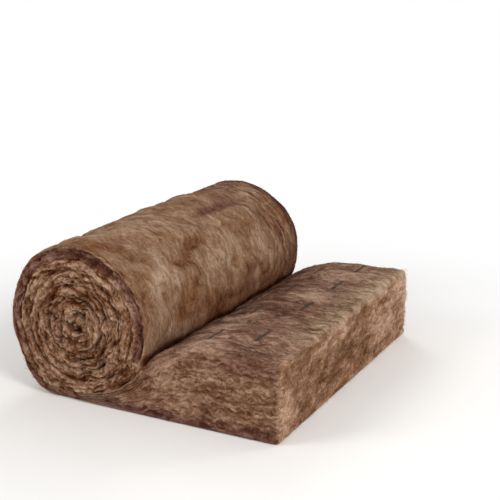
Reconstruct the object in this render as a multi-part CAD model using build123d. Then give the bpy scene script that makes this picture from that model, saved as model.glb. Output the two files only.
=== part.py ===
from build123d import *
import math
import os

# A roll of mineral wool, partly unrolled: one blanket, wound up on the left, its free end lying flat on the right.
# Sizes are millimetres. X runs along the free end, Y along the roll's axis and Z up from the floor.
# The origin is the middle of the footprint.

# The blanket
blanket_width = 1200
free_thickness = 275  # of the free end, sprung back after unrolling
tail_length = 782  # from under the roll's axis to the cut end
shoulder_radius = 330  # where the free end swells out of the nip
nip_height = 177  # where the roll's side meets the free end
nip_radius = 8
cut_top_radius = 22  # the softened edges of the cut end
cut_bottom_radius = 18
rim_radius = 14  # the softened edges of both long sides

# The wound part
roll_diameter = 575
settled_width = 110  # how far the roll lies flat on the floor, left of its axis
flank_radius = 450  # of its left side, which its weight pushes down and out
turns = 5
outer_turn_below = 37  # the outermost turn, pressed thin under the roll
outer_turn_above = 26
heart_sag = 16  # the innermost turns hang this far below the roll's axis
heart_hollow_diameter = 24

# The seam between the turns, open at both ends of the roll
seam_mouth = 14
seam_depth = 45
seam_overrun = 2  # degrees past the nip, so that the seam runs out into it

roll_radius = roll_diameter / 2
axis_height = roll_radius
heart_height = axis_height - heart_sag
half_width = blanket_width / 2
nip_x = math.sqrt(roll_radius**2 - (nip_height - axis_height) ** 2)  # from the roll's axis
shift_x = (roll_radius - tail_length) / 2  # from the roll's axis to the middle of the footprint


def section():
    """The blanket's outline seen along the roll's axis, which is at X 0."""
    shoulder_height = free_thickness - shoulder_radius
    shoulder_x = nip_x + math.sqrt(shoulder_radius**2 - (nip_height - shoulder_height) ** 2)
    shoulder_start = math.degrees(math.atan2(nip_height - shoulder_height, nip_x - shoulder_x))
    nip_angle = math.degrees(math.atan2(nip_height - axis_height, nip_x))
    flank_x = flank_radius - roll_radius
    heel_radius = (flank_radius**2 - (flank_x + settled_width) ** 2 - roll_radius**2) / (2 * flank_x)
    flank_angle = math.degrees(math.atan2(axis_height - heel_radius, flank_x + settled_width))
    with BuildSketch(Plane.XZ) as outline:
        with BuildLine():
            Line((-settled_width, 0), (tail_length, 0))
            Line((tail_length, 0), (tail_length, free_thickness))
            Line((tail_length, free_thickness), (shoulder_x, free_thickness))
            CenterArc((shoulder_x, shoulder_height), shoulder_radius, 90, shoulder_start - 90)
            CenterArc((0, axis_height), roll_radius, nip_angle, 180 - nip_angle)
            CenterArc((flank_x, axis_height), flank_radius, 180, flank_angle)
            CenterArc((-settled_width, heel_radius), heel_radius, 180 + flank_angle, 90 - flank_angle)
        make_face()
        fillet(outline.vertices().sort_by_distance((tail_length, free_thickness))[0], cut_top_radius)
        fillet(outline.vertices().sort_by_distance((tail_length, 0))[0], cut_bottom_radius)
        fillet(outline.vertices().sort_by_distance((nip_x, nip_height))[0], nip_radius)
    return outline.sketch


def groove_arc(centre_height, radius, start_angle, sweep):
    """A stretch of the seam: its tapered groove turned about an axis along Y, at the near end of the roll."""
    with BuildSketch(Plane.XY.offset(centre_height)) as groove:
        with BuildLine():
            Polyline(
                (radius - seam_mouth / 2, -half_width),
                (radius + seam_mouth / 2, -half_width),
                (radius, -half_width + seam_depth),
                close=True,
            )
        make_face()
    axis = Axis((0, 0, centre_height), (0, -1, 0))
    turned = revolve(groove.sketch, axis, sweep)
    return turned.rotate(axis, start_angle)


def seam():
    """The spiral between the turns: half circles, each starting where the last one ends, from the nip inwards."""
    low, high = outer_turn_below, roll_diameter - outer_turn_above
    step_below = (heart_height - low) / turns
    step_above = (high - heart_height) / turns
    rise = nip_height - low
    link_radius = (nip_x**2 + rise**2) / (2 * rise)
    link_angle = math.degrees(math.asin(nip_x / link_radius)) + seam_overrun
    grooves = [groove_arc(low + link_radius, link_radius, 270, link_angle)]
    for turn in range(turns):
        bottom = low + turn * step_below
        top = high - turn * step_above
        next_bottom = bottom + step_below
        grooves.append(groove_arc((bottom + top) / 2, (top - bottom) / 2, 90, 180))
        grooves.append(groove_arc((next_bottom + top) / 2, (top - next_bottom) / 2, 270, 180))
    return grooves


def wool_blanket():
    body = extrude(section(), amount=half_width, both=True)
    ends = body.faces().filter_by(Axis.Y)
    body = fillet(ends.edges(), rim_radius)
    hollow = Pos(0, 0, heart_height) * Rot(90, 0, 0) * Cylinder(heart_hollow_diameter / 2, blanket_width + 2)
    for groove in seam():
        body -= [groove, mirror(groove, Plane.XZ)]
    body -= hollow
    return Pos(shift_x, 0, 0) * body


os.makedirs("parts", exist_ok=True)
blanket = wool_blanket()
export_step(blanket, "parts/wool_blanket.step")
print("wool_blanket", blanket.bounding_box().size, "volume", round(blanket.volume))
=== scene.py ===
import math
import bpy
import numpy as np
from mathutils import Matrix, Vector


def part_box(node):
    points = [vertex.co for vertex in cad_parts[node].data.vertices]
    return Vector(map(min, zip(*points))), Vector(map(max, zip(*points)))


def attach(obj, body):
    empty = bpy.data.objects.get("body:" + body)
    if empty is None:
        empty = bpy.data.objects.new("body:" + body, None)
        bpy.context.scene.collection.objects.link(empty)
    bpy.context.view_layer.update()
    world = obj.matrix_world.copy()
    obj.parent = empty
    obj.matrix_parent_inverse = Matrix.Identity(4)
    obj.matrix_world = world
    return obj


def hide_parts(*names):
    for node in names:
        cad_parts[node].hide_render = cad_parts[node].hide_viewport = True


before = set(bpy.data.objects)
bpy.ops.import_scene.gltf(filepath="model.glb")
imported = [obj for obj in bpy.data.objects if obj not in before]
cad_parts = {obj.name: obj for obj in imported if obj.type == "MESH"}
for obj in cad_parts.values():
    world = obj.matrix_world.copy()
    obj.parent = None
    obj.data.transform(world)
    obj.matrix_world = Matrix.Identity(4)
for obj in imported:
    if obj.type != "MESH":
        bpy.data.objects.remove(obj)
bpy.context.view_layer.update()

# A partly unrolled roll of brown mineral wool. Metres, in the frame's own axes:
# X along the free end, Y along the roll, Z up. The near end of the roll is at the lowest Y.

lowCorner, highCorner = (np.array(corner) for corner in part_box("wool_blanket"))
rollRadius = (highCorner[2] - lowCorner[2]) / 2
axisX = lowCorner[0] + rollRadius
halfWidth = (highCorner[1] - lowCorner[1]) / 2
tailLength = highCorner[0] - axisX

blanket = {
    "freeThickness": 0.275,
    "nipHeight": 0.177,
    "shoulderRadius": 0.33,
    "settledWidth": 0.11,  # lies flat on the floor, left of the roll's axis
    "flankRadius": 0.45,
    "cutTopRadius": 0.022,
    "cutBottomRadius": 0.018,
    "rimRadii": {"round": 0.024, "top": 0.042, "cut": 0.022, "floor": 0.012},
    "turns": 5.5,
    "turnPitch": 0.042,
    "heartSag": 0.016,
    "hollowOffset": (0.011, -0.009),  # from the heart to its small dark hollow
    "heartRings": ((0.8, 0.0), (0.6, -0.003), (0.42, -0.002), (0.3, 0.012), (0.16, 0.034)),  # share, depth
    "hollowDepth": 0.045,
    "firstTurnBelow": 0.037,
    "turnUnevenness": 0.008,
    "turnWrinkles": 0.0055,
    "flowHeight": 0.24,  # how high the free end's side counts where its fibres are drawn
}
looseThickness = 0.04  # stands in for a turn's thickness where there is none

meshFineness = {
    "columnsPerTurn": 300,
    "across": (0, 0.04, 0.1, 0.18, 0.28, 0.39, 0.5, 0.61, 0.72, 0.82, 0.9, 0.96, 1),  # from seam to seam
    "tailColumns": 100,
    "tailRows": 56,
    "beltRows": 204,
    "undersideRows": 6,
}


# Smooth noise on whole arrays of points

noiseDraw = np.random.default_rng(11)
shuffled = noiseDraw.permutation(256)
gradients = noiseDraw.normal(size=(256, 3))
gradients /= np.linalg.norm(gradients, axis=1)[:, None]


def noise(points, size, seed=0):
    # about -1 to 1, one swell for each size: a number, or one for each axis
    scaled = points / np.asarray(size, dtype=float) + 17.31 * seed
    cell = np.floor(scaled).astype(int)
    part = scaled - cell
    ease = part**3 * (part * (part * 6 - 15) + 10)
    total = np.zeros(len(points))
    for corner in np.ndindex(2, 2, 2):
        at = cell + corner
        pick = shuffled[(shuffled[(shuffled[at[:, 0] & 255] + at[:, 1]) & 255] + at[:, 2]) & 255]
        weight = np.prod(np.where(corner, ease, 1 - ease), axis=1)
        total += weight * (gradients[pick] * (part - corner)).sum(axis=1)
    return total * 1.7


def smoothStep(low, high, value):
    share = np.clip((value - low) / (high - low), 0, 1)
    return share * share * (3 - 2 * share)


def bell(value, middle, width):
    return np.exp(-(((value - middle) / width) ** 2))


# The blanket's section: x from the roll's axis, z from the floor. A place round the roll is a turn:
# 0 is under its heart, and it grows clockwise seen from the near end

heart = np.array([0.0, rollRadius - blanket["heartSag"]])
nipX = math.sqrt(rollRadius**2 - (blanket["nipHeight"] - rollRadius) ** 2)


def arcPoints(centre, radius, start, end, count=160):
    angle = np.radians(np.linspace(start, end, count))
    return np.column_stack([centre[0] + radius * np.cos(angle), centre[1] + radius * np.sin(angle)])


def polar(points):
    away = points - heart
    angle = np.degrees(np.arctan2(away[:, 1], away[:, 0]))
    return ((-90 - angle) % 360) / 360, np.hypot(away[:, 0], away[:, 1])


def rollOutline():
    settled, flankRadius = blanket["settledWidth"], blanket["flankRadius"]
    flankX = flankRadius - rollRadius
    heelRadius = (flankRadius**2 - (flankX + settled) ** 2 - rollRadius**2) / (2 * flankX)
    flankAngle = math.degrees(math.atan2(rollRadius - heelRadius, flankX + settled))
    nipAngle = math.degrees(math.atan2(blanket["nipHeight"] - rollRadius, nipX))
    floor = np.column_stack([np.linspace(-1e-6, -settled, 40), np.zeros(40)])
    heel = arcPoints((-settled, heelRadius), heelRadius, 270, 180 + flankAngle)[1:]
    flank = arcPoints((flankX, rollRadius), flankRadius, 180 + flankAngle, 180)[1:]
    crown = arcPoints((0, rollRadius), rollRadius, 180, nipAngle, 500)[1:]
    return polar(np.vstack([floor, heel, flank, crown]))


def seamLink():
    # from the nip to under the heart, between the free end and the roll
    rise = blanket["nipHeight"] - blanket["firstTurnBelow"]
    radius = (nipX**2 + rise**2) / (2 * rise)
    reach = math.degrees(math.asin(nipX / radius))
    turn, distance = polar(arcPoints((0, blanket["firstTurnBelow"] + radius), radius, 270 + reach, 270))
    turn[-1] = 1
    return turn - 1, distance


outlineTurns, outlineRadii = rollOutline()
linkTurns, linkRadii = seamLink()
columnsPerTurn = meshFineness["columnsPerTurn"]
nipColumn = round((linkTurns[0] + 1) * columnsPerTurn)


def turnDirection(turn):
    angle = np.radians(-90 - 360 * turn)
    return np.column_stack([np.cos(angle), np.sin(angle)])


def seamRadius(turn):
    # how far the seam inside the blanket at this turn lies from the heart
    direction = turnDirection(turn)
    sag = blanket["heartSag"] * (1 - turn / (blanket["turns"] + 0.25))
    start = heart[1] - blanket["firstTurnBelow"] + blanket["heartSag"]
    wound = start - blanket["turnPitch"] * turn + sag * direction[:, 1]
    around = np.column_stack([direction * wound[:, None], turn * 0.2])
    waver = noise(around, (0.2, 0.2, 0.3), seed=4) * blanket["turnUnevenness"]
    waver += noise(around, (0.055, 0.055, 0.08), seed=3) * blanket["turnWrinkles"]
    wound += waver * smoothStep(0, 0.15, turn) * (1 - 0.8 * smoothStep(4, 5.3, turn))
    return np.where(turn < 0, np.interp(turn, linkTurns, linkRadii), wound)


def freeTop(x):
    # height of the free end's upper face
    shoulderHeight = blanket["freeThickness"] - blanket["shoulderRadius"]
    drop = blanket["nipHeight"] - shoulderHeight
    shoulderX = nipX + math.sqrt(blanket["shoulderRadius"] ** 2 - drop**2)
    inside = np.clip(shoulderX - x, 0, None)
    return shoulderHeight + np.sqrt(blanket["shoulderRadius"] ** 2 - inside**2)


def roundCorner(points, corner, radius, up):
    # maps the square in a corner of the cut end onto a quarter disc
    centre = corner - np.array([radius, radius * up])
    share = (points - centre) / np.array([radius, radius * up])
    inCorner = (share[:, 0] > 0) & (share[:, 1] > 0)
    across, along = share[inCorner, 0], share[inCorner, 1]
    mapped = np.column_stack([across * np.sqrt(1 - along**2 / 2), along * np.sqrt(1 - across**2 / 2)])
    points[inCorner] = centre + mapped * np.array([radius, radius * up])


# One end of the blanket as a flat net, in (x, z): the wound strip, the free end's side and the heart

def endNet():
    gathered = {"spot": [], "flow": [], "turn": [], "share": [], "thickness": [], "heartDepth": []}
    count = 0

    def addPoints(places, *facts):
        # the facts are the other lists of gathered, in order: one value for each point, or one for all
        nonlocal count
        for kept, value in zip(gathered.values(), (places, *facts)):
            kept.append(value if np.ndim(value) else np.full(len(places), value))
        count += len(places)
        return np.arange(count - len(places), count)

    across = np.array(meshFineness["across"])
    cells = len(across) - 1
    lastColumn = round(blanket["turns"] * columnsPerTurn)
    column = np.arange(lastColumn + 1)
    turn = column / columnsPerTurn
    outer = np.where(
        column < nipColumn, np.interp(turn, outlineTurns, outlineRadii), seamRadius(turn - 1)
    )
    inner = seamRadius(turn)
    radius = outer[:, None] + (inner - outer)[:, None] * across[None, :]
    wound = heart + radius[:, :, None] * turnDirection(turn)[:, None, :]
    along = np.cumsum(2 * np.pi * (outer + inner) / 2 / columnsPerTurn)
    flow = np.dstack([np.repeat(along[:, None], cells + 1, 1), heart[1] - radius])
    thickness = np.repeat((outer - inner)[:, None], cells + 1, 1)
    ids = np.full((lastColumn + 1, cells + 1), -1)
    ids[:, :cells] = addPoints(
        wound[:, :cells].reshape(-1, 2),
        flow[:, :cells].reshape(-1, 2),
        np.repeat(turn[:, None], cells, 1).ravel(),
        np.repeat(across[None, :cells], lastColumn + 1, 0).ravel(),
        thickness[:, :cells].ravel(),
        0.0,
    ).reshape(lastColumn + 1, cells)
    innermost = lastColumn - columnsPerTurn
    ids[: innermost + 1, cells] = ids[columnsPerTurn:, 0]
    free = slice(innermost + 1, None)
    ids[free, cells] = addPoints(
        wound[free, cells], flow[free, cells], turn[free], 1.0, thickness[free, cells], 0.0
    )
    faces = [
        (ids[i, j], ids[i, j + 1], ids[i + 1, j + 1], ids[i + 1, j])
        for i in range(lastColumn)
        for j in range(cells)
    ]

    # the heart: rings that close in on its hollow
    rim = [*ids[innermost:, cells], *ids[lastColumn, cells - 1 : 0 : -1]]
    rimSpots = np.vstack(gathered["spot"])[rim]
    inHeart = blanket["turns"], 0.5, looseThickness
    hollow = heart + np.array(blanket["hollowOffset"])
    previous = rim
    for ringShare, depth in blanket["heartRings"]:
        ringSpots = hollow + (rimSpots - hollow) * ringShare * np.array([1 + 0.25 * (1 - ringShare), 1])
        ringFlow = np.column_stack([np.arange(len(rim)) * 0.001, heart[1] - ringSpots[:, 1]])
        ring = addPoints(ringSpots, ringFlow, *inHeart, depth)
        for k in range(len(rim)):
            after = (k + 1) % len(rim)
            faces.append((previous[k], ring[k], ring[after], previous[after]))
        previous = ring
    (deepest,) = addPoints(hollow[None, :], np.zeros((1, 2)), *inHeart, blanket["hollowDepth"])
    for k in range(len(rim)):
        faces.append((previous[k], deepest, previous[(k + 1) % len(rim)]))

    # the free end's side: columns from under the heart to the cut end
    gathered["spot"][0][ids[nipColumn, 0]] = (nipX, blanket["nipHeight"])
    rows = meshFineness["tailRows"]
    linked = list(range(columnsPerTurn - 1, nipColumn - 1, -1))
    freeX = np.linspace(nipX, tailLength, meshFineness["tailColumns"] + 1)[1:]
    linkTops = gathered["spot"][0][ids[linked, 0]]
    tailTops = np.vstack([linkTops, np.column_stack([freeX, freeTop(freeX)])])
    columns = len(tailTops)
    height = np.linspace(0, 1, rows + 1)
    grid = np.empty((columns, rows + 1, 2))
    grid[:, :, 0] = tailTops[:, None, 0]
    grid[:, :, 1] = tailTops[:, None, 1] * height
    own = np.ones((columns, rows + 1), bool)
    own[: len(linked), rows] = False
    tailSpots = grid[own]
    roundCorner(tailSpots, np.array([tailLength, blanket["freeThickness"]]), blanket["cutTopRadius"], 1)
    roundCorner(tailSpots, np.array([tailLength, 0.0]), blanket["cutBottomRadius"], -1)
    heightShare = np.repeat(height[None, :], columns, 0)[own]
    tailIds = np.full((columns, rows + 1), -1)
    tailIds[own] = addPoints(
        tailSpots,
        np.column_stack([-tailSpots[:, 0], heightShare * blanket["flowHeight"]]),
        -1.0,
        1 - heightShare,
        np.repeat(tailTops[:, 1:], rows + 1, 1)[own],
        0.0,
    )
    tailIds[: len(linked), rows] = ids[linked, 0]
    for c in range(columns - 1):
        for k in range(rows):
            faces.append((tailIds[c, k], tailIds[c + 1, k], tailIds[c + 1, k + 1], tailIds[c, k + 1]))

    # joins the first column of the wound strip to the free end's first column
    left, right = ids[0, :], tailIds[0, :]
    i = j = 0
    while i < cells or j < rows:
        if j < rows and (i == cells or height[j + 1] <= across[i + 1]):
            faces.append((left[i], right[j], right[j + 1]))
            j += 1
        else:
            faces.append((left[i], right[j], left[i + 1]))
            i += 1

    edge = {
        "round": list(ids[: nipColumn + 1, 0]),
        "top": list(tailIds[len(linked) :, rows]),
        "cut": list(tailIds[-1, rows - 1 :: -1]),
        "floor": list(tailIds[-2::-1, 0]),
    }
    facts = {key: np.concatenate(values) for key, values in gathered.items()}
    spots = facts.pop("spot")
    return spots, faces, edge, facts


netSpots, netFaces, netEdge, netFacts = endNet()
netCount = len(netSpots)
outline = netEdge["round"] + netEdge["top"] + netEdge["cut"] + netEdge["floor"]
outlineSpots = netSpots[outline]
roundCount = len(netEdge["round"])
cutStart = roundCount + len(netEdge["top"])
floorStart = cutStart + len(netEdge["cut"])
print("end net:", netCount, "points,", len(netFaces), "faces, outline of", len(outline))


def outlineNormals():
    # outward, for the clockwise outline
    step = np.roll(outlineSpots, -1, 0) - np.roll(outlineSpots, 1, 0)
    normal = np.column_stack([-step[:, 1], step[:, 0]])
    return normal / np.linalg.norm(normal, axis=1)[:, None]


edgeNormals = outlineNormals()


def netDistance():
    # how far each point of the net lies inside the outline, and which outline point is nearest
    nearest = np.empty(netCount, int)
    batch = 2000
    for start in range(0, netCount, batch):
        part = netSpots[start : start + batch]
        gap = ((part[:, None, :] - outlineSpots[None, :, :]) ** 2).sum(axis=2)
        nearest[start : start + batch] = gap.argmin(axis=1)
    offset = netSpots - outlineSpots[nearest]
    inward = -(offset * edgeNormals[nearest]).sum(axis=1)
    straight = np.linalg.norm(offset, axis=1)
    deeper = smoothStep(0.004, 0.016, straight)  # the straight distance is right only away from the edge
    return np.clip(inward + (straight - inward) * deeper, 0, None), nearest


def rimRadii():
    # one for each outline point, running smoothly from stretch to stretch
    radii = np.concatenate([np.full(len(netEdge[name]), blanket["rimRadii"][name]) for name in netEdge])
    reach = 12
    padded = np.concatenate([radii[-reach:], radii, radii[:reach]])
    return np.convolve(padded, np.ones(2 * reach + 1) / (2 * reach + 1), "valid")


rimOf = rimRadii()


# The whole blanket as one closed mesh

def beltRuns():
    # the outline in two runs: a dense one all round, and a sparse one along the flat underside
    every = list(range(len(outline)))
    heelAt = next(k for k in range(roundCount) if outlineSpots[k][1] > 1e-5)
    flatAt = next(k for k in range(floorStart, len(outline)) if outlineSpots[k][1] < 1e-6)
    return every[heelAt - 1 : flatAt + 1], every[flatAt:] + every[:heelAt]


denseRun, sparseRun = beltRuns()


def blanketMesh():
    inward, nearest = netDistance()
    rim = rimOf[nearest]
    arc = np.radians(45 + 45 * np.clip(inward / rim, 0, 1))
    inset = np.where(inward < rim, rim * (1 - np.cos(arc)) - inward, 0)
    recess = np.where(inward < rim, rim * (1 - np.sin(arc)), 0)
    endSpots = netSpots - edgeNormals[nearest] * inset[:, None]

    near = np.column_stack([endSpots[:, 0], -halfWidth + recess, endSpots[:, 1]])
    far = near * (1, -1, 1)
    places = [near, far]
    count = 2 * netCount
    faces = [tuple(face) for face in netFaces]
    faces += [tuple(netCount + v for v in reversed(face)) for face in netFaces]

    def beltRow(run, y):
        # one row of the belt between the ends, turned in where it nears a rim
        edgeRim = rimOf[run]
        fromEnd = halfWidth - abs(y)
        turnIn = np.radians(45 * (1 - np.minimum(fromEnd / edgeRim, 1)))
        spots = outlineSpots[run] - edgeNormals[run] * (edgeRim * (1 - np.cos(turnIn)))[:, None]
        rounded = math.copysign(1, y) * (halfWidth - edgeRim * (1 - np.sin(turnIn)))
        return np.column_stack([spots[:, 0], np.where(fromEnd < edgeRim, rounded, y), spots[:, 1]])

    beltColumns, beltPlaces = [], []

    def addRows(run, rowCount):
        nonlocal count
        table = [[outline[k] for k in run]]
        for row in range(1, rowCount):
            y = -halfWidth + 2 * halfWidth * row / rowCount
            places.append(beltRow(run, y))
            table.append(list(range(count, count + len(run))))
            beltColumns.append(np.array(run))
            beltPlaces.append(np.full(len(run), y))
            count += len(run)
        table.append([netCount + outline[k] for k in run])
        for low, high in zip(table, table[1:]):
            for c in range(len(run) - 1):
                faces.append((low[c], low[c + 1], high[c + 1], high[c]))
        return table

    rows, sparseRows = meshFineness["beltRows"], meshFineness["undersideRows"]
    belt = addRows(denseRun, rows)
    under = addRows(sparseRun[1:-1], sparseRows)
    for r in range(sparseRows):
        first, last = round(r * rows / sparseRows), round((r + 1) * rows / sparseRows)
        fromCut = [belt[k][-1] for k in range(last, first - 1, -1)]
        faces.append((*fromCut, under[r][0], under[r + 1][0]))
        fromHeel = [belt[k][0] for k in range(first, last + 1)]
        faces.append((under[r][-1], *fromHeel, under[r + 1][-1]))
    points = np.vstack(places)
    points[:, 0] += axisX
    return points, faces, np.concatenate(beltColumns), np.concatenate(beltPlaces), inward, nearest


points, faces, beltColumn, beltY, netInward, netNearest = blanketMesh()
print("blanket:", len(points), "points,", sum(len(face) - 2 for face in faces), "triangles")


def pointNormals(places):
    normals = np.zeros_like(places)
    for corners, (a, b, c, d) in ((4, (0, 2, 1, 3)), (3, (0, 1, 0, 2))):
        group = np.array([face for face in faces if len(face) == corners])
        corner = [places[group[:, k]] for k in range(corners)]
        cross = np.cross(corner[b] - corner[a], corner[d] - corner[c])
        for k in range(corners):
            np.add.at(normals, group[:, k], cross)
    length = np.linalg.norm(normals, axis=1)
    return normals / np.maximum(length, 1e-12)[:, None]


# Every point's facts: where on the blanket it lies, and which way its fibres run

total = len(points)


def everyPoint(onNet, onBelt=0.0):
    # the same on both ends' nets, then one value for the belt or one for each of its points
    return np.concatenate([onNet, onNet, np.broadcast_to(onBelt, len(beltColumn))])


turnOf = everyPoint(netFacts["turn"])
shareOf = everyPoint(netFacts["share"])
thicknessOf = everyPoint(netFacts["thickness"], looseThickness)
heartDepthOf = everyPoint(netFacts["heartDepth"])
insideOf = everyPoint(netInward)
edgePlace = everyPoint(netNearest, beltColumn)
fromEndOf = everyPoint(np.zeros(netCount), halfWidth - np.abs(beltY))

outward = pointNormals(points)
deepInside = insideOf > 0.05
outward[deepInside] = np.sign(points[deepInside, 1])[:, None] * (0, 1, 0)

edgeStep = np.linalg.norm(outlineSpots - np.roll(outlineSpots, 1, 0), axis=1)
edgeStep[0] = 0
edgeLength = np.cumsum(edgeStep)
position = np.arange(len(outline))


def edgeShare(low, high):
    # 1 on this stretch of the outline, blurred over a few points at both its ends
    blur = np.ones(7) / 7
    return np.convolve(((position >= low) & (position < high)).astype(float), blur, "same")[edgePlace]


isEnd = np.zeros(total, bool)
isEnd[: 2 * netCount] = True
endShare = np.where(
    isEnd, 0.5 + 0.5 * smoothStep(0, 0.012, insideOf), 0.5 * (1 - smoothStep(0, 0.014, fromEndOf))
)
beltShare = 1 - endShare
onRoll = beltShare * edgeShare(0, roundCount)
onTop = beltShare * edgeShare(roundCount, cutStart)
onCut = beltShare * edgeShare(cutStart - 2, floorStart + 3)

sectionX = points[:, 0] - axisX
yPlace = points[:, 1]
height = points[:, 2]
fromNear = yPlace + halfWidth
spot = np.column_stack([sectionX, yPlace, height])
rollAngle = np.degrees(np.arctan2(height - rollRadius, sectionX))

flowOf = np.empty((total, 2))
flowOf[: 2 * netCount] = np.vstack([netFacts["flow"]] * 2)
flowOf[2 * netCount :] = np.column_stack([edgeLength[beltColumn], beltY])
flowAt = np.column_stack([flowOf, np.where(isEnd, np.sign(yPlace) * 3, 0)])


# The free end's cutting marks, in two rows along Y

marks = {
    "rows": (  # from the roll's axis, half width, and the marks' middles from the near end
        (0.461, 0.0066, (0.167, 0.475, 0.773, 1.033)),
        (0.613, 0.0080, (0.219, 0.577, 0.860, 1.095)),
    ),
    "halfLength": 0.057,
    "calmReach": 0.022,  # the surface is pressed smooth this far round each mark
    "calm": 0.85,
}


# Relief: how far each point stands out of, or lies below, the plain form

relief = {
    "dents": (  # from the near end, angle round the roll, size along, size round, depth
        (0.455, 46, 0.05, 0.020, 0.021),
        (0.38, 40, 0.035, 0.022, 0.009),
        (0.33, 20, 0.03, 0.05, 0.008),
        (0.28, 4, 0.05, 0.03, 0.009),
        (0.76, 68, 0.12, 0.014, 0.014),
        (0.90, 64, 0.10, 0.016, 0.012),
        (0.80, 6, 0.09, 0.03, 0.006),
        (0.15, 74, 0.10, 0.03, 0.008),
        (0.60, -8, 0.14, 0.02, 0.006),
        (0.35, 120, 0.11, 0.03, 0.008),
        (0.85, 140, 0.08, 0.05, 0.009),
        (0.50, 175, 0.13, 0.04, 0.008),
        (1.02, 100, 0.05, 0.05, 0.008),
    ),
    # from the near end, angle, size along, size round, raised or sunk, and a sunk one's share of mauve
    "rollPads": (
        (0.08, 74, 0.15, 0.060, -0.7, 0),
        (0.00, 40, 0.05, 0.140, -0.7, 0),
        (0.02, 5, 0.04, 0.100, -0.7, 0),
        (0.46, 50, 0.03, 0.026, -0.9, 0),
        (0.36, 36, 0.05, 0.020, -0.8, 0),
        (0.335, 12, 0.05, 0.060, -0.9, 0),
        (0.46, 0, 0.09, 0.045, -0.8, 0),
        (0.22, 0, 0.10, 0.030, -0.4, 0),
        (0.30, 54, 0.06, 0.020, -0.4, 0),
        (0.73, 67, 0.10, 0.028, -0.8, 1),
        (0.92, 76, 0.14, 0.045, -0.6, 1),
        (0.75, -4, 0.06, 0.050, -0.8, 1),
        (0.60, -8, 0.08, 0.040, -0.6, 0.6),
        (0.14, 31, 0.07, 0.070, 0.9, 0),
        (0.26, 25, 0.06, 0.050, 0.6, 0),
        (0.62, 31, 0.13, 0.065, 0.7, 0),
        (0.47, 76, 0.09, 0.045, 0.6, 0),
        (0.87, 22, 0.11, 0.060, 0.5, 0),
        (0.25, 80, 0.08, 0.030, 0.5, 0),
        (0.30, 150, 0.12, 0.080, 0.7, 0),
        (0.60, 130, 0.10, 0.070, -0.7, 0.3),
        (0.90, 160, 0.12, 0.070, 0.7, 0),
        (0.12, 125, 0.07, 0.060, -0.6, 0.5),
        (0.75, 185, 0.12, 0.060, -0.6, 0),
        (0.45, 195, 0.10, 0.060, 0.6, 0),
    ),
    "padLean": 0.25,  # pads and dents lean along the roll as they go round it
    "folds": (  # across the free end: from the near end, slope, first and last place, depth
        (0.61, 0.10, 0.42, 0.72, 0.013),
        (0.36, -0.12, 0.34, 0.58, 0.010),
        (0.93, 0.06, 0.38, 0.64, 0.010),
        (0.12, 0.10, 0.38, 0.66, 0.009),
        (0.70, -0.05, 0.30, 0.50, 0.008),
    ),
    "topPads": (  # on the free end: from the near end, from the axis, size along Y and X, paler or darker
        (0.09, 0.50, 0.06, 0.09, 0.45),
        (0.30, 0.42, 0.06, 0.07, 0.3),
        (0.68, 0.56, 0.05, 0.10, 0.35),
        (1.00, 0.55, 0.07, 0.10, 0.3),
        (0.06, 0.66, 0.06, 0.07, -0.4),
        (0.82, 0.38, 0.10, 0.07, -0.35),
        (0.50, 0.52, 0.06, 0.10, -0.3),
    ),
    "seamWidth": 0.0031,
    "seamDepth": 0.026,
    "lipStart": 0.34,  # turn where the outermost layer folds over the rim
    "lipTop": 0.019,
    "lipNip": 0.010,
    "lipStep": 0.011,
    "lipGroove": 0.015,
    "mauveWidth": 0.036,
    "nipPull": 0.020,
    "farHump": 0.009,  # the free end rises a little towards its far side
    "endHeights": {  # on the free end's side, and what the wound end has more of
        "layer": (0.0026, 0.0044),
        "thinLayer": (0.0018, 0.0027),
        "clump": (0.0045, -0.0012),
        "tuft": (0.0018, 0),
        "crimp": (0, 0.0014),
        "fleck": (0.0014, 0),
    },
    "rollHeights": {  # everywhere on the roll, and only where it isn't calm towards the far crown
        "slow": (0.0065, 0),
        "swell": (0, 0.0065),
        "clump": (0, 0.0015),
        "rollPad": (0, 0.0045),
        "rollGrain": (0.0018, 0),
    },
    "topHeights": {"swell": (0.005, 0), "slow": (0.004, 0), "clump": (0.0009, 0)},
    "cutHeights": {
        "cutClump": (0.0034, 0),
        "cutTuft": (0.0016, 0),
        "fleck": (0.0006, 0),
        "swell": (0.006, 0),
        "cutSlant": (0.0012, 0),
    },
    "padHeight": 0.0045,
    "padGapDepth": 0.014,
    "creaseHeights": {"crease": 0.026, "finerCrease": 0.006, "rollCrease": 0.014},
    "creaseReach": 0.3,  # the crease's noise counts up to this value
    "farBulge": (0.009, 40, 38),  # height, angle round the roll and width of the far end's bulge
    "nearSlack": (0.009, 128, 32),  # the same for the near end's slack upper left
}

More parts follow.
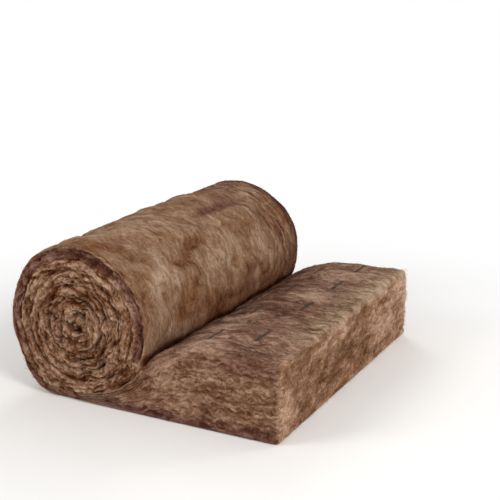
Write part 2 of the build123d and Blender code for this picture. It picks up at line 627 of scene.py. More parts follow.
swells = {  # the size of each noise's swells, one for all ways or one for each, and its seed
    "warp": (0.06, 1),
    "fineWarp": (0.028, 2),
    "layer": ((0.08, 0.0098, 1), 5),
    "thinLayer": ((0.05, 0.0060, 1), 6),
    "clump": (0.032, 7),
    "tuft": (0.015, 8),
    "swell": (0.13, 9),
    "slow": (0.26, 10),
    "rollGrain": ((0.08, 0.024, 1), 12),
    "creaseShift": (0.11, 13),
    "crease": ((0.36, 0.085, 1), 14),
    "finerCrease": ((0.19, 0.04, 1), 15),
    "cutSlant": ((1, 0.009, 0.035), 16),
    "crimp": ((0.021, 0.034, 1), 17),
    "gash": ((0.085, 0.021, 1), 18),
    "gashPlace": (0.05, 19),
    "seamGape": (0.075, 21),
    "seamWidth": (0.05, 22),
    "fineGape": (0.03, 23),
    "rollCrease": ((0.42, 0.13, 1), 24),
    "fleck": (0.009, 26),
    "fineGash": ((0.055, 0.0115, 1), 28),
    "fineGashPlace": (0.03, 29),
    "lip": (0.06, 31),
    "crown": (0.1, 33),
    "fineLip": (0.022, 34),
    "lipGroove": (0.07, 35),
    "cutTuft": ((0.03, 0.034, 0.013), 36),
    "cutClump": ((0.06, 0.075, 0.028), 37),
    "fold": (0.12, 38),
    "padGap": ((0.2, 0.14, 1), 39),
    "padShiftAlong": (0.09, 40),
    "padShiftRound": (0.1, 41),
    "padGapPlace": (0.17, 42),
    "topLight": ((0.14, 0.06, 0.1), 43),
    "rollPad": ((0.06, 0.085, 0.06), 44),
    "streak": ((0.11, 0.022, 1), 45),
    "fineStreak": ((0.07, 0.011, 1), 46),
    "wanderAlong": (0.075, 47),
    "wanderRound": (0.06, 48),
    "bandEdge": (0.05, 49),
}


def swellOf(name, places=spot):
    size, seed = swells[name]
    return noise(places, size, seed)


def shifted(along, across):
    # the flow's places, each moved a little
    return flowAt + np.column_stack([along, across, np.zeros(total)])


def farShape():
    # the far end of the roll bulges a little, the near end is slack on its upper left
    (bulge, *bulgeAt), (slack, *slackAt) = relief["farBulge"], relief["nearSlack"]
    risen = bulge * bell(rollAngle, *bulgeAt) * smoothStep(0.1, 0.6, yPlace)
    return risen - slack * bell(rollAngle, *slackAt) * smoothStep(0.1, 0.6, -yPlace)


def arcFrom(angle):
    # how far round the roll each point lies from this angle, in metres
    return np.radians((rollAngle - angle + 180) % 360 - 180) * rollRadius


def rollDents():
    depth = np.zeros(total)
    for middle, angle, along, around, deep in relief["dents"]:
        arcAway = arcFrom(angle)
        lineAway = fromNear - middle - relief["padLean"] * arcAway
        depth += deep * np.exp(-((lineAway / along) ** 2) - (arcAway / around) ** 2)
    return depth


def rollPads():
    # soft pads that stand out pale, and the rust or mauve hollows between them: partly the wool's own
    # tones, partly painted light on the pads and painted shade in the hollows
    raised, rusty, mauve = np.zeros(total), np.zeros(total), np.zeros(total)
    wanderAlong, wanderRound = 0.035 * swellOf("wanderAlong"), 0.022 * swellOf("wanderRound")
    for middle, angle, along, around, rise, mauveShare in relief["rollPads"]:
        arcAway = arcFrom(angle) + wanderRound
        lineAway = fromNear - middle - relief["padLean"] * arcAway + wanderAlong
        here = onRoll * np.exp(-(((lineAway / along) ** 2 + (arcAway / around) ** 2) ** 1.3))
        sunk = np.clip(-rise, 0, 1)
        raised += rise * here
        rusty += sunk * (1 - mauveShare) * here
        mauve += sunk * mauveShare * here
    return raised, rusty, mauve


def topFolds():
    depth = np.zeros(total)
    waver = 0.02 * swellOf("fold")
    for middle, slope, first, last, deep in relief["folds"]:
        away = fromNear - (middle + slope * (sectionX - first) + waver)
        begun = smoothStep(first - 0.06, first + 0.04, sectionX)
        ended = smoothStep(last - 0.04, last + 0.06, sectionX)
        # steep on the far side, sloping gently on the near side
        depth += deep * begun * (1 - ended) * np.exp(-np.abs(away) / np.where(away > 0, 0.007, 0.035))
    return depth


def topTones():
    tone = np.zeros(total)
    for middle, fromAxis, along, across, paler in relief["topPads"]:
        tone += paler * bell(fromNear, middle, along) * bell(sectionX, fromAxis, across)
    return tone


def nearMarks():
    # 1 on and close round each cutting mark, where the surface is pressed smooth
    near = np.zeros(total)
    reach = marks["calmReach"]
    for row, halfWide, middles in marks["rows"]:
        awayX = np.clip(np.abs(sectionX - row) - halfWide, 0, None)
        for middle in middles:
            awayY = np.clip(np.abs(fromNear - middle) - marks["halfLength"], 0, None)
            near = np.maximum(near, np.exp(-((awayX / reach) ** 2) - (awayY / reach) ** 2))
    return near * onTop


endSpot = spot[:, [0, 2, 1]]
nipTurn = nipColumn / columnsPerTurn


def seamDepth():
    # grooves between the turns, uneven in depth, on the ends only
    isTail = turnOf < 0
    fromInner = np.where(isTail, np.inf, (1 - shareOf) * thicknessOf)
    outermost = (turnOf >= 0) & (turnOf < nipTurn)
    fromOuter = np.where(isTail | outermost, np.inf, shareOf * thicknessOf)
    linkTop = isTail & (sectionX < nipX)
    fromOuter = np.where(linkTop, shareOf * thicknessOf, fromOuter)
    nearHeart = smoothStep(3.8, 4.6, turnOf)
    gaping = swellOf("seamGape", endSpot) + 0.5 * swellOf("fineGape", endSpot)
    closing = (0.04 + 0.96 * smoothStep(-0.05, 0.65, gaping)) * (1 - 0.7 * nearHeart)
    width = relief["seamWidth"] + 0.0022 * swellOf("seamWidth", endSpot)
    groove = np.exp(-np.minimum(fromInner, fromOuter) / width)
    crowned = np.where(isTail, 0, np.abs(2 * shareOf - 1) ** 2.5)
    crowned *= (0.25 + 0.75 * smoothStep(-0.3, 0.4, swellOf("crown", endSpot))) * (1 - nearHeart)
    return groove * closing, crowned * endShare


def lipAndBand():
    # the outermost layer folded over the rim, and the mauve face of the layer under it
    turn = np.where(isEnd, turnOf, -1)
    around = smoothStep(relief["lipStart"], relief["lipStart"] + 0.1, turn)
    around *= (turn < nipTurn + 0.002) & (turn >= 0)
    lip = relief["lipTop"] + (relief["lipNip"] - relief["lipTop"]) * smoothStep(0.5, 0.78, turn)
    lip += 0.005 * swellOf("lip", endSpot) + 0.0025 * swellOf("fineLip", endSpot)
    past = smoothStep(lip - 0.002, lip + 0.004, insideOf)
    mauveWidth = relief["mauveWidth"]
    ends = 1 - smoothStep(lip + mauveWidth * 0.7, lip + mauveWidth * 1.25, insideOf)
    torn = smoothStep(-0.5, 0.4, swellOf("lipGroove", endSpot))
    groove = around * bell(insideOf, lip + 0.001, 0.0035) * torn
    band = around * past * ends
    bandEnd = insideOf + 0.01 * swellOf("bandEdge", endSpot)
    outerBand = smoothStep(0.004, 0.012, insideOf) * (1 - smoothStep(0.030, 0.054, bandEnd))
    left = (turn >= 0) & (turn < relief["lipStart"] + 0.12)
    under = (turn < 0) & (height < 0.06)
    leftBand = outerBand * (left + under * (1 - 0.45 * smoothStep(0.1, 0.5, sectionX)))
    return groove, band, leftBand


def gashesOf(name, sharpness):
    # 1 along the lines where the noise crosses zero, 0 between them
    return np.clip(1 - sharpness * np.abs(swellOf(name, crimped)), 0, 1)


print("relief")
groove, crowned = seamDepth()
lipGroove, lipBand, leftBand = lipAndBand()
dents = rollDents()
folds = topFolds()
padRise, padRustAndShade, padMauveAndShade = rollPads()
markCalm = nearMarks()

warp = 0.014 * swellOf("warp") + 0.008 * swellOf("fineWarp")
crimped = shifted(warp * 0.5, warp)
waves = {name: swellOf(name, crimped) for name in ("layer", "thinLayer", "crimp")}
for name in ("clump", "tuft", "fleck", "swell", "slow", "rollPad", "cutClump", "cutTuft"):
    waves[name] = swellOf(name)
waves["rollGrain"] = swellOf("rollGrain", flowAt)
slantWay = np.array([[1, 0, 0], [0, 0.8, 0.6], [0, -0.6, 0.8]])
waves["cutSlant"] = swellOf("cutSlant", spot @ slantWay)
heartAway = np.hypot(sectionX, height - heart[1])
looseRing = bell(heartAway, 0.105, 0.05)  # the turns lie loosest round the heart
gashes = gashesOf("gash", 6.5) * smoothStep(0.05, 0.45, swellOf("gashPlace") + 0.35 * looseRing)
fineGashes = gashesOf("fineGash", 5) * smoothStep(-0.1, 0.4, swellOf("fineGashPlace") + 0.25 * looseRing)

isTailSide = isEnd & (turnOf < 0)
tailSideShare = np.where(isTailSide, smoothStep(0.0, 0.2, sectionX), 0)
woundShare = 1 - tailSideShare
crownShare = smoothStep(-50, 20, rollAngle) * (1 - smoothStep(115, 170, rollAngle))


def heaped(heights, extraShare=0):
    # the sum of the waves, each as high as the relief says
    return sum((plain + extra * extraShare) * waves[name] for name, (plain, extra) in heights.items())


def endRelief():
    lift = heaped(relief["endHeights"], woundShare)
    lift *= np.where(isEnd, 0.35 + 0.65 * smoothStep(0.004, 0.03, insideOf), 0.35)  # the rim stays even
    lift += (0.008 - 0.002 * woundShare) * waves["swell"] - 0.007 * crowned
    return lift - (0.004 + 0.013 * woundShare) * gashes - (0.002 + 0.007 * woundShare) * fineGashes


creaseAt = shifted(np.zeros(total), 0.02 * swellOf("creaseShift"))
crease, finerCrease, rollCrease = (
    np.abs(swellOf(name, creaseAt)) for name in ("crease", "finerCrease", "rollCrease")
)
padAt = shifted(0.03 * swellOf("padShiftAlong"), 0.03 * swellOf("padShiftRound"))
betweenPads = np.clip(1 - np.abs(swellOf("padGap", padAt)) / 0.16, 0, 1)
betweenPads *= smoothStep(-0.3, 0.3, swellOf("padGapPlace"))


def creased(name, values):
    return relief["creaseHeights"][name] * np.minimum(values, relief["creaseReach"])


def rollRelief():
    calmer = 1 - 0.65 * smoothStep(0.05, 0.45, yPlace) * crownShare
    lift = heaped(relief["rollHeights"], calmer) + farShape() - dents + relief["padHeight"] * padRise
    lift += creased("rollCrease", rollCrease) - 0.003
    return lift - relief["padGapDepth"] * calmer * betweenPads**1.5


def topRelief():
    farHump = relief["farHump"] * smoothStep(0.15, 0.55, yPlace) * smoothStep(0.4, 0.6, sectionX)
    lift = heaped(relief["topHeights"]) + farHump - folds
    lift += creased("crease", crease) - 0.006 + creased("finerCrease", finerCrease)
    nearShare = 1 - smoothStep(0, 0.45, fromNear)
    lift += nearShare * 0.012 * (bell(sectionX, 0.57, 0.11) - bell(sectionX, 0.75, 0.035))
    pressed = 0.004 * waves["slow"] + farHump + 0.001
    return lift + (pressed - lift) * marks["calm"] * markCalm


fromNip = np.where(isEnd, 1, edgeLength[edgePlace] - edgeLength[nipColumn])
nipPull = relief["nipPull"] * bell(fromNip, 0, 0.012) * smoothStep(0.01, 0.07, fromEndOf)
lift = endShare * endRelief() + onRoll * (rollRelief() - nipPull)
lift += onTop * (topRelief() - nipPull) + onCut * heaped(relief["cutHeights"])
endStep = relief["seamDepth"] * groove + relief["lipGroove"] * lipGroove + relief["lipStep"] * lipBand
lift -= endShare * isEnd * endStep
lift -= np.where(isEnd, heartDepthOf, 0)
lift *= smoothStep(0.002, 0.03, height) * 0.98 + 0.02  # hardly anything moves on the floor

worked = points + outward * lift[:, None]
worked[:, 2] = np.clip(worked[:, 2], 0.0, None)


# What the colours need, one number for each point

shading = {
    # painted shade: these darken the ends' sunk layers and gashes, the lip's groove, and the creases and
    # folds
    "darkEnds": {  # on the free end's side, and what the wound end has more of
        "layers": (0.1, 0.5),
        "gashes": (0.15, 0.7),
        "fineGashes": (0.1, 0.6),
    },
    "darkLip": 0.9,
    "darkCreases": {  # width on the crease's noise, and share
        "crease": (0.05, 0.75),
        "finerCrease": (0.05, 0.4),
        "rollCrease": (0.035, 0.3),
    },
    "darkFolds": (0.0045, 130, 0.75),  # from this depth, how steeply, and at most
    "mauve": {
        "leftBand": 0.9,
        "farStreaks": 0.75,
        "crownDents": 0.85,
        "pads": 0.9,
        "nipShadeStreaks": 0.8,
        # painted shade: mauve streaks low on the roll round the nip
        "tailBottom": 0.7,
        "tailUpper": 0.95,
    },
    # the gaps between pads and the roll round the nip take rust colour as painted shade; round the heart it
    # is the wool's own patchy tone
    "rust": {"padGapShade": 0.75, "nip": 0.85, "heart": 0.5},
    # painted shade: each dent's rust colour, mauve on the crown, grows with its depth, on the wool's own
    # tones
    "dents": 80,  # how steeply a dent's depth turns into its colour
    "light": {  # how much each of them lightens its own part of the blanket
        "ends": {"layer": (0.35, 0), "thinLayer": (0.25, 0), "tuft": (0.15, 0)},
        "tailSide": {"clump": (0.2, 0), "swell": (0.2, 0)},
        "tailLeft": 0.14,
        "cut": {"cutTuft": (0.3, 0), "cutClump": (0.35, 0), "swell": (0.3, 0)},
        # painted light: highlights along the cut face's rims, and its far part lighter
        "cutEdgeHighlights": 0.55,
        "top": 0.3,
        "rollStreaks": 0.12,
        "farRim": -0.5,
        "farStreaks": -0.25,
        # partly painted light on the raised pads
        "rollPads": 0.38,
    },
}
streakAt = shifted(warp, warp)
streaks = swellOf("streak", streakAt) + 0.5 * swellOf("fineStreak", streakAt)
farRim = (1 - smoothStep(0.0, 0.075, halfWidth - yPlace + 0.05 * streaks)) * crownShare
farStreaks = smoothStep(0.0, 0.32, streaks + 0.25 * waves["swell"])
farStreaks *= smoothStep(0.15, 0.5, yPlace) * crownShare**2
nipAway = np.hypot(worked[:, 0] - axisX - nipX, worked[:, 2] - blanket["nipHeight"])
# painted shade in the dents, on the wool's rust and mauve tones
dentShade = dents * shading["dents"]
crownDents = onRoll * smoothStep(50, 58, rollAngle) * (rollAngle < 110)


def creviceShadeMask():
    # painted shade: darkens the grooves, gashes and sunk parts between layers on the ends, the heart's
    # hollow, and the folds and creases elsewhere
    dark = isEnd * (groove + shading["darkLip"] * lipGroove)
    sunk = sum(np.clip(-waves[name] - 0.15, 0, 1) for name in ("layer", "thinLayer"))
    for name, low in (("layers", sunk), ("gashes", gashes * isEnd), ("fineGashes", fineGashes * isEnd)):
        plain, wound = shading["darkEnds"][name]
        dark += (plain + wound * woundShare) * low
    dark = dark * endShare + isEnd * smoothStep(0.002, 0.02, heartDepthOf)
    start, slope, most = shading["darkFolds"]
    lines = onTop * np.clip((folds - start) * slope, 0, most)
    for name, where, values in (
        ("crease", onTop, crease),
        ("finerCrease", onTop, finerCrease),
        ("rollCrease", onRoll, rollCrease),
    ):
        width, share = shading["darkCreases"][name]
        lines += where * np.clip(1 - values / width, 0, 1) * share
    return dark.clip(0, 1) + lines * smoothStep(-0.4, 0.3, waves["swell"])


def mauveMask():
    share = shading["mauve"]
    mauve = isEnd * (lipBand + share["leftBand"] * leftBand)
    mauve += onRoll * (farRim + share["farStreaks"] * farStreaks)
    mauve += share["crownDents"] * crownDents * np.clip(dentShade, 0, 1) + share["pads"] * padMauveAndShade
    # painted shade: mauve streaks low on the roll round the nip
    nipShadeStreaks = bell(nipAway, 0, 0.11) * smoothStep(-0.15, 0.35, streaks) * smoothStep(0.1, 0.4, fromNear)
    mauve += share["nipShadeStreaks"] * onRoll * nipShadeStreaks
    tailBottom = isTailSide * (1 - smoothStep(0.006, 0.04, height)) * smoothStep(0.1, 0.3, sectionX)
    belowTop = freeTop(np.clip(sectionX, nipX, None)) - height + 0.012 * waves["swell"]
    tailUpper = isTailSide * bell(belowTop, 0.030, 0.030) * (0.7 + 0.3 * smoothStep(0.45, 0.65, sectionX))
    tailUpper *= smoothStep(nipX - 0.02, nipX + 0.05, sectionX)
    tailUpper *= 0.8 + 0.5 * waves["clump"]
    return mauve + share["tailBottom"] * tailBottom + share["tailUpper"] * tailUpper


def rustMask():
    # painted shade in rust colour in the gaps between pads and round the nip; near the heart it is the
    # wool's patchy tone
    share = shading["rust"]
    nipRustShade = bell(nipAway, 0, 0.13) * (0.45 + 0.55 * smoothStep(0.15, 0.5, fromNear))
    rust = np.clip(onRoll * dentShade, 0, 1) * (1 - crownDents) + padRustAndShade
    rust += onRoll * (share["padGapShade"] * betweenPads**1.3 + share["nip"] * nipRustShade)
    patchy = smoothStep(-0.35, 0.4, waves["clump"] + waves["swell"])
    return rust + share["heart"] * isEnd * endShare * bell(heartAway, 0.085, 0.06) * patchy


def nipShadeMask():
    # painted shade: a dark line along the crease where the roll meets the free end, on both sides of it
    nearNip = 1 - smoothStep(0.1, 0.45, fromNear)
    onSide = (1.2 + 0.3 * nearNip) * bell(nipAway, 0.014 + 0.006 * nearNip, 0.024)
    onSide += 0.12 * bell(nipAway, 0, 0.1) * smoothStep(0.2, 0.6, fromNear)
    return onRoll * onSide + onTop * 1.1 * bell(nipAway, 0.006, 0.016)


def lightMask():
    toRim = np.minimum(blanket["freeThickness"] - height, height + 0.01)
    toRim = np.clip(np.minimum(toRim, halfWidth - np.abs(yPlace)), 0, None)
    # painted light: the cut face grows lighter towards the far end, with painted highlights along its rims
    cutPaintedLight = 0.7 * smoothStep(0.0, 0.6, yPlace) + 0.85 * np.exp(-toRim / 0.014)
    share = shading["light"]
    tailSide = heaped(share["tailSide"]) + share["tailLeft"] * (1 - smoothStep(0.2, 0.5, sectionX))
    top = topTones() + share["top"] * swellOf("topLight")
    roll = share["rollStreaks"] * streaks + share["farRim"] * farRim + share["farStreaks"] * farStreaks
    # partly painted light: the raised pads are lighter
    roll += share["rollPads"] * np.clip(padRise, 0, 1)
    cut = heaped(share["cut"]) + share["cutEdgeHighlights"] * cutPaintedLight - 0.1
    light = 0.5 + endShare * heaped(share["ends"]) + isTailSide * tailSide
    return light + onTop * top + onRoll * roll + onCut * cut


masks = {
    "cutWool": endShare + onCut,
    "cutFace": onCut,
    "topFace": onTop,
    "cavity": creviceShadeMask(),
    "mauve": mauveMask(),
    "freeSide": tailSideShare,
    "rust": rustMask(),
    "nip": nipShadeMask(),
    "pale": onTop * smoothStep(0.64, 0.75, sectionX) * smoothStep(0.08, 0.4, fromNear),
    "light": lightMask(),
}


def flowDirections():
    # the way the fibres run at each point, lying in the surface
    angle = np.radians(-90 - 360 * turnOf)
    along = np.column_stack([np.sin(angle), np.zeros(total), -np.cos(angle)])
    along[isTailSide] = (1, 0, 0)
    edgeAlong = np.column_stack([edgeNormals[:, 1], -edgeNormals[:, 0]])
    belt = edgeAlong[edgePlace]
    along = np.where(isEnd[:, None], along, np.column_stack([belt[:, 0], np.zeros(total), belt[:, 1]]))
    along[:, 1] += np.where(isEnd, 0, 0.22 * onRoll)
    along += (onCut * 0.5)[:, None] * (0, 1, 0)
    return along / np.linalg.norm(along, axis=1)[:, None]


def showPiece(name, data):
    piece = bpy.data.objects.new(name, data)
    bpy.context.scene.collection.objects.link(piece)
    return piece


def makeMesh(name, places, polygons):
    mesh = bpy.data.meshes.new(name)
    mesh.from_pydata(places.tolist(), [], [tuple(int(v) for v in face) for face in polygons])
    mesh.update()
    mesh.shade_smooth()
    return showPiece(name, mesh)


woolBlanket = makeMesh("brown_wool", worked, faces)
woolMesh = woolBlanket.data
for name, values in masks.items():
    layer = woolMesh.attributes.new(name, "FLOAT", "POINT")
    layer.data.foreach_set("value", np.clip(values, 0, 1).astype(np.float32))
wayLayer = woolMesh.attributes.new("flowWay", "FLOAT_VECTOR", "POINT")
wayLayer.data.foreach_set("vector", flowDirections().astype(np.float32).ravel())


def writeFlow():
    # ends and belt meet at the rims, so each face reads the flow of its own side
    loopPoint = np.empty(len(woolMesh.loops), int)
    woolMesh.loops.foreach_get("vertex_index", loopPoint)
    sizes = np.empty(len(woolMesh.polygons), int)
    woolMesh.polygons.foreach_get("loop_total", sizes)
    loopFace = np.repeat(np.arange(len(sizes)), sizes)
    fromEnds = loopFace < 2 * len(netFaces)
    uv = flowOf[loopPoint].copy()
    edgeOf = np.full(total, -1)
    edgeOf[outline] = position
    edgeOf[[netCount + k for k in outline]] = position
    onEdge = ~fromEnds & (edgeOf[loopPoint] >= 0)
    uv[onEdge, 0] = edgeLength[edgeOf[loopPoint[onEdge]]]
    uv[onEdge, 1] = np.sign(worked[loopPoint[onEdge], 1]) * halfWidth
    layer = woolMesh.uv_layers.new(name="flow")
    layer.data.foreach_set("uv", uv.astype(np.float32).ravel())


writeFlow()
print("blanket meshed")


# Materials

def link(tree, source, target):
    tree.links.new(source, target)


def setOrLink(tree, socket, value):
    # a number or a colour is set, and anything else is linked
    if isinstance(value, (int, float, tuple)):
        socket.default_value = value
    else:
        link(tree, value, socket)


def addNode(tree, kind, **settings):
    node = tree.nodes.new(kind)
    for name, value in settings.items():
        setattr(node, name, value)
    return node


def mathNode(tree, operation, *values, clamp=False):
    node = addNode(tree, "ShaderNodeMath", operation=operation, use_clamp=clamp)
    for socket, value in zip(node.inputs, values):
        setOrLink(tree, socket, value)
    return node.outputs[0]


def noiseNode(tree, place, scale, detail):
    node = addNode(tree, "ShaderNodeTexNoise")
    for name, value in (("Scale", scale), ("Detail", detail), ("Vector", place)):
        setOrLink(tree, node.inputs[name], value)
    return node


def mixNode(tree, share, first, second, kind="RGBA"):
    node = addNode(tree, "ShaderNodeMix", data_type=kind)
    a, b, mixed = {"RGBA": (6, 7, 2), "FLOAT": (2, 3, 0)}[kind]
    for at, value in ((0, share), (a, first), (b, second)):
        setOrLink(tree, node.inputs[at], value)
    return node.outputs[mixed]


def ramp(tree, value, stops):
    node = addNode(tree, "ShaderNodeValToRGB")
    elements = node.color_ramp.elements
    while len(elements) < len(stops):
        elements.new(0.5)
    for element, (at, colour) in zip(elements, stops):
        element.position = at
        element.color = (*colour, 1)
    link(tree, value, node.inputs[0])
    return node.outputs[0]


def newGroup(kind, name, inputs, output):
    # an empty group with named inputs, each with its kind and what it starts at, and one output
    group = bpy.data.node_groups.new(name, kind)
    for label, socketKind, *start in inputs:
        socket = group.interface.new_socket(label, in_out="INPUT", socket_type="NodeSocket" + socketKind)
        if start:
            socket.default_value = start[0]
    label, socketKind = output
    group.interface.new_socket(label, in_out="OUTPUT", socket_type="NodeSocket" + socketKind)
    return group, addNode(group, "NodeGroupInput").outputs, addNode(group, "NodeGroupOutput").inputs


def placeGroup(tree, group, **values):
    node = addNode(tree, "ShaderNodeGroup", node_tree=group)
    for name, value in values.items():
        setOrLink(tree, node.inputs[name.replace("_", " ")], value)
    return node.outputs[0]


def streakGroup():
    # strands that lie along the flow: long one way, thin the other, and wavering
    sockets = (
        ("Flow", "Vector"),
        ("Place", "Vector"),
        ("Length", "Float", 0.08),
        ("Width", "Float", 0.008),
        ("Waver", "Float", 0.006),
        ("Crimp", "Float", 28.0),
        ("Seed", "Float", 0.0),
    )
    group, inside, outside = newGroup("ShaderNodeTree", "woolStrands", sockets, ("Strands", "Float"))
    wander = noiseNode(group, inside["Place"], inside["Crimp"], 1)
    split = addNode(group, "ShaderNodeSeparateXYZ")
    link(group, inside["Flow"], split.inputs[0])
    shift = mathNode(group, "SUBTRACT", wander.outputs["Fac"], 0.5)
    shift = mathNode(group, "MULTIPLY", mathNode(group, "MULTIPLY", shift, inside["Waver"]), 4.0)
    acrossFlow = mathNode(group, "ADD", split.outputs["Y"], shift)
    join = addNode(group, "ShaderNodeCombineXYZ")
    link(group, mathNode(group, "DIVIDE", split.outputs["X"], inside["Length"]), join.inputs[0])
    link(group, mathNode(group, "DIVIDE", acrossFlow, inside["Width"]), join.inputs[1])
    link(group, inside["Seed"], join.inputs[2])
    strands = noiseNode(group, join.outputs[0], 1, 2.5)
    strands.inputs["Roughness"].default_value = 0.6
    link(group, strands.outputs["Fac"], outside["Strands"])
    return group


def markGroup():
    # one short cutting mark, drawn along Y on the free end's upper face
    sockets = [("Place", "Vector")]
    sockets += [(label, "Float") for label in ("Row", "Middle", "Half Length", "Half Width")]
    group, inside, outside = newGroup("ShaderNodeTree", "cuttingMark", sockets, ("Mark", "Float"))
    split = addNode(group, "ShaderNodeSeparateXYZ")
    link(group, inside["Place"], split.inputs[0])
    shares = []
    for axis, middle, half, soft in (
        ("X", "Row", "Half Width", 0.0025),
        ("Y", "Middle", "Half Length", 0.006),
    ):
        away = mathNode(group, "ABSOLUTE", mathNode(group, "SUBTRACT", split.outputs[axis], inside[middle]))
        spare = mathNode(group, "SUBTRACT", inside[half], away)
        shares.append(mathNode(group, "MULTIPLY_ADD", spare, 1 / soft, 0.5, clamp=True))
    link(group, mathNode(group, "MULTIPLY", *shares), outside["Mark"])
    return group


strandGroup = streakGroup()
cuttingMarkGroup = markGroup()

woolFinish = {
    "strands": {  # length, width, waver, crimp and seed of each texture of strands
        "patches": (0.18, 0.10, 0.08, 7.0, 31.5),
        "pads": (0.13, 0.045, 0.06, 9.0, 21.5),
        "broad": (0.075, 0.0150, 0.026, 11.0, 3.5),
        "medium": (0.042, 0.0080, 0.016, 16.0, 9.5),
        "fine": (0.024, 0.0040, 0.008, 24.0, 15.5),
        "cutBroad": (0.10, 0.0140, 0.016, 28.0, 1.5),
        "cutMedium": (0.042, 0.0074, 0.013, 34.0, 7.5),
        "cutFine": (0.024, 0.0040, 0.008, 42.0, 13.5),
        "slanting": (0.030, 0.0075, 0.014, 22.0, 51.5),
        "wisps": (0.13, 0.024, 0.05, 9.0, 61.5),
        "cracks": (0.075, 0.015, 0.022, 26.0, 41.5),
        "flecks": (0.022, 0.0060, 0.012, 30.0, 71.5),
    },
    "slant": 1.22,  # how far the slanting strands are turned from the flow, in radians
    "noises": {"blotch": (9, 3), "speck": (110, 2), "grain": (190, 3)},  # scale and detail
    "mixes": {  # how much of each texture there is in a tone or in the bump's height
        "facing": {"light": 0.22, "pads": 0.28, "broad": 0.10, "medium": 0.13, "fine": 0.15, "speck": 0.12},
        "cut": {"light": 0.26, "cutBroad": 0.14, "cutMedium": 0.33, "cutFine": 0.15, "speck": 0.12},
        "side": {
            "light": 0.16, "cutBroad": 0.14, "cutMedium": 0.30, "cutFine": 0.12,
            "grain": 0.06, "speck": 0.12, "blotch": 0.10,
        },
        "cutFace": {"light": 0.20, "grain": 0.20, "speck": 0.16, "blotch": 0.16, "slanting": 0.28},
        "top": {"light": 0.16, "pads": 0.20, "broad": 0.24, "medium": 0.18, "fine": 0.10, "speck": 0.12},
        "facingHeight": {
            "pads": 0.4, "broad": 0.34, "medium": 0.32, "fine": 0.34, "wispLine": 0.06, "speck": 0.2,
        },
        "cutHeight": {"cutBroad": 0.9, "cutMedium": 0.8, "cutFine": 0.5, "speck": 0.5},
        "faceHeight": {"grain": 0.6, "speck": 0.35, "slanting": 0.5},
    },
    "tones": {  # dark, middle and light of each kind of wool, each with its place on the tone
        "facing": (
            (0.40, (0.105, 0.044, 0.018)),
            (0.50, (0.250, 0.143, 0.081)),
            (0.61, (0.45, 0.328, 0.240)),
        ),
        "cut": (
            (0.385, (0.060, 0.018, 0.006)),
            (0.475, (0.200, 0.094, 0.045)),
            (0.59, (0.48, 0.31, 0.215)),
        ),
        "side": (
            (0.39, (0.075, 0.028, 0.014)),
            (0.49, (0.190, 0.096, 0.054)),
            (0.60, (0.44, 0.285, 0.190)),
        ),
        "cutFace": (
            (0.37, (0.095, 0.038, 0.016)),
            (0.49, (0.255, 0.133, 0.073)),
            (0.66, (0.68, 0.47, 0.34)),
        ),
        "top": (
            (0.41, (0.070, 0.029, 0.018)),
            (0.50, (0.175, 0.095, 0.063)),
            (0.60, (0.40, 0.265, 0.190)),
        ),
        "mauve": (
            (0.40, (0.050, 0.017, 0.013)),
            (0.49, (0.125, 0.053, 0.041)),
            (0.60, (0.250, 0.135, 0.105)),
        ),
        "paleTop": (
            (0.40, (0.125, 0.070, 0.040)),
            (0.49, (0.285, 0.195, 0.122)),
            (0.60, (0.55, 0.42, 0.31)),
        ),
        "rust": (
            (0.42, (0.070, 0.018, 0.006)),
            (0.50, (0.170, 0.066, 0.027)),
            (0.60, (0.300, 0.165, 0.090)),
        ),
    },
    "plain": {  # colours with no shades of their own
        "rusty": (0.170, 0.066, 0.027, 1),
        "paled": (0.45, 0.328, 0.240, 1),
        "wisp": (0.50, 0.38, 0.28, 1),
        # painted shade: the dark colour laid in crevices, cracks, creases and along the nip
        "hollow": (0.050, 0.009, 0.002, 1),
        "fleck": (0.080, 0.032, 0.016, 1),
        "ink": (0.046, 0.035, 0.028, 1),
    },
    "contrasts": {  # how steeply a texture turns from none to all, and where
        "rusty": (5.5, -2.9),
        "paled": (-5.0, 2.25),
        "blotched": (3.2, -1.35),
        "flecked": (-13.0, 5.45),
        "worn": (1.6, 0.1),
        "patchy": (4.0, -1.6),
    },
    "shares": {  # how strongly each colour covers what is under it
        "rusty": 0.68,
        "paled": 0.45,
        "wisp": 0.3,
        "blotchMauve": 0.26,
        "mauve": 0.88,
        "pale": 0.8,
        "rust": 0.8,
        "fleck": 0.6,
        # how strongly painted shade covers the cracks and the crevices
        "crack": 0.78,
        "sideCrack": -0.3,
        "hollow": 0.95,
        "ink": 0.9,
    },
    "wispSharpness": 34.0,
    "crackSharpness": 22.0,
    "roughness": 0.92,
    "roughnessRange": 0.12,
    "specular": 0.03,
    "bump": {"Strength": 0.9, "Distance": 0.006},
}


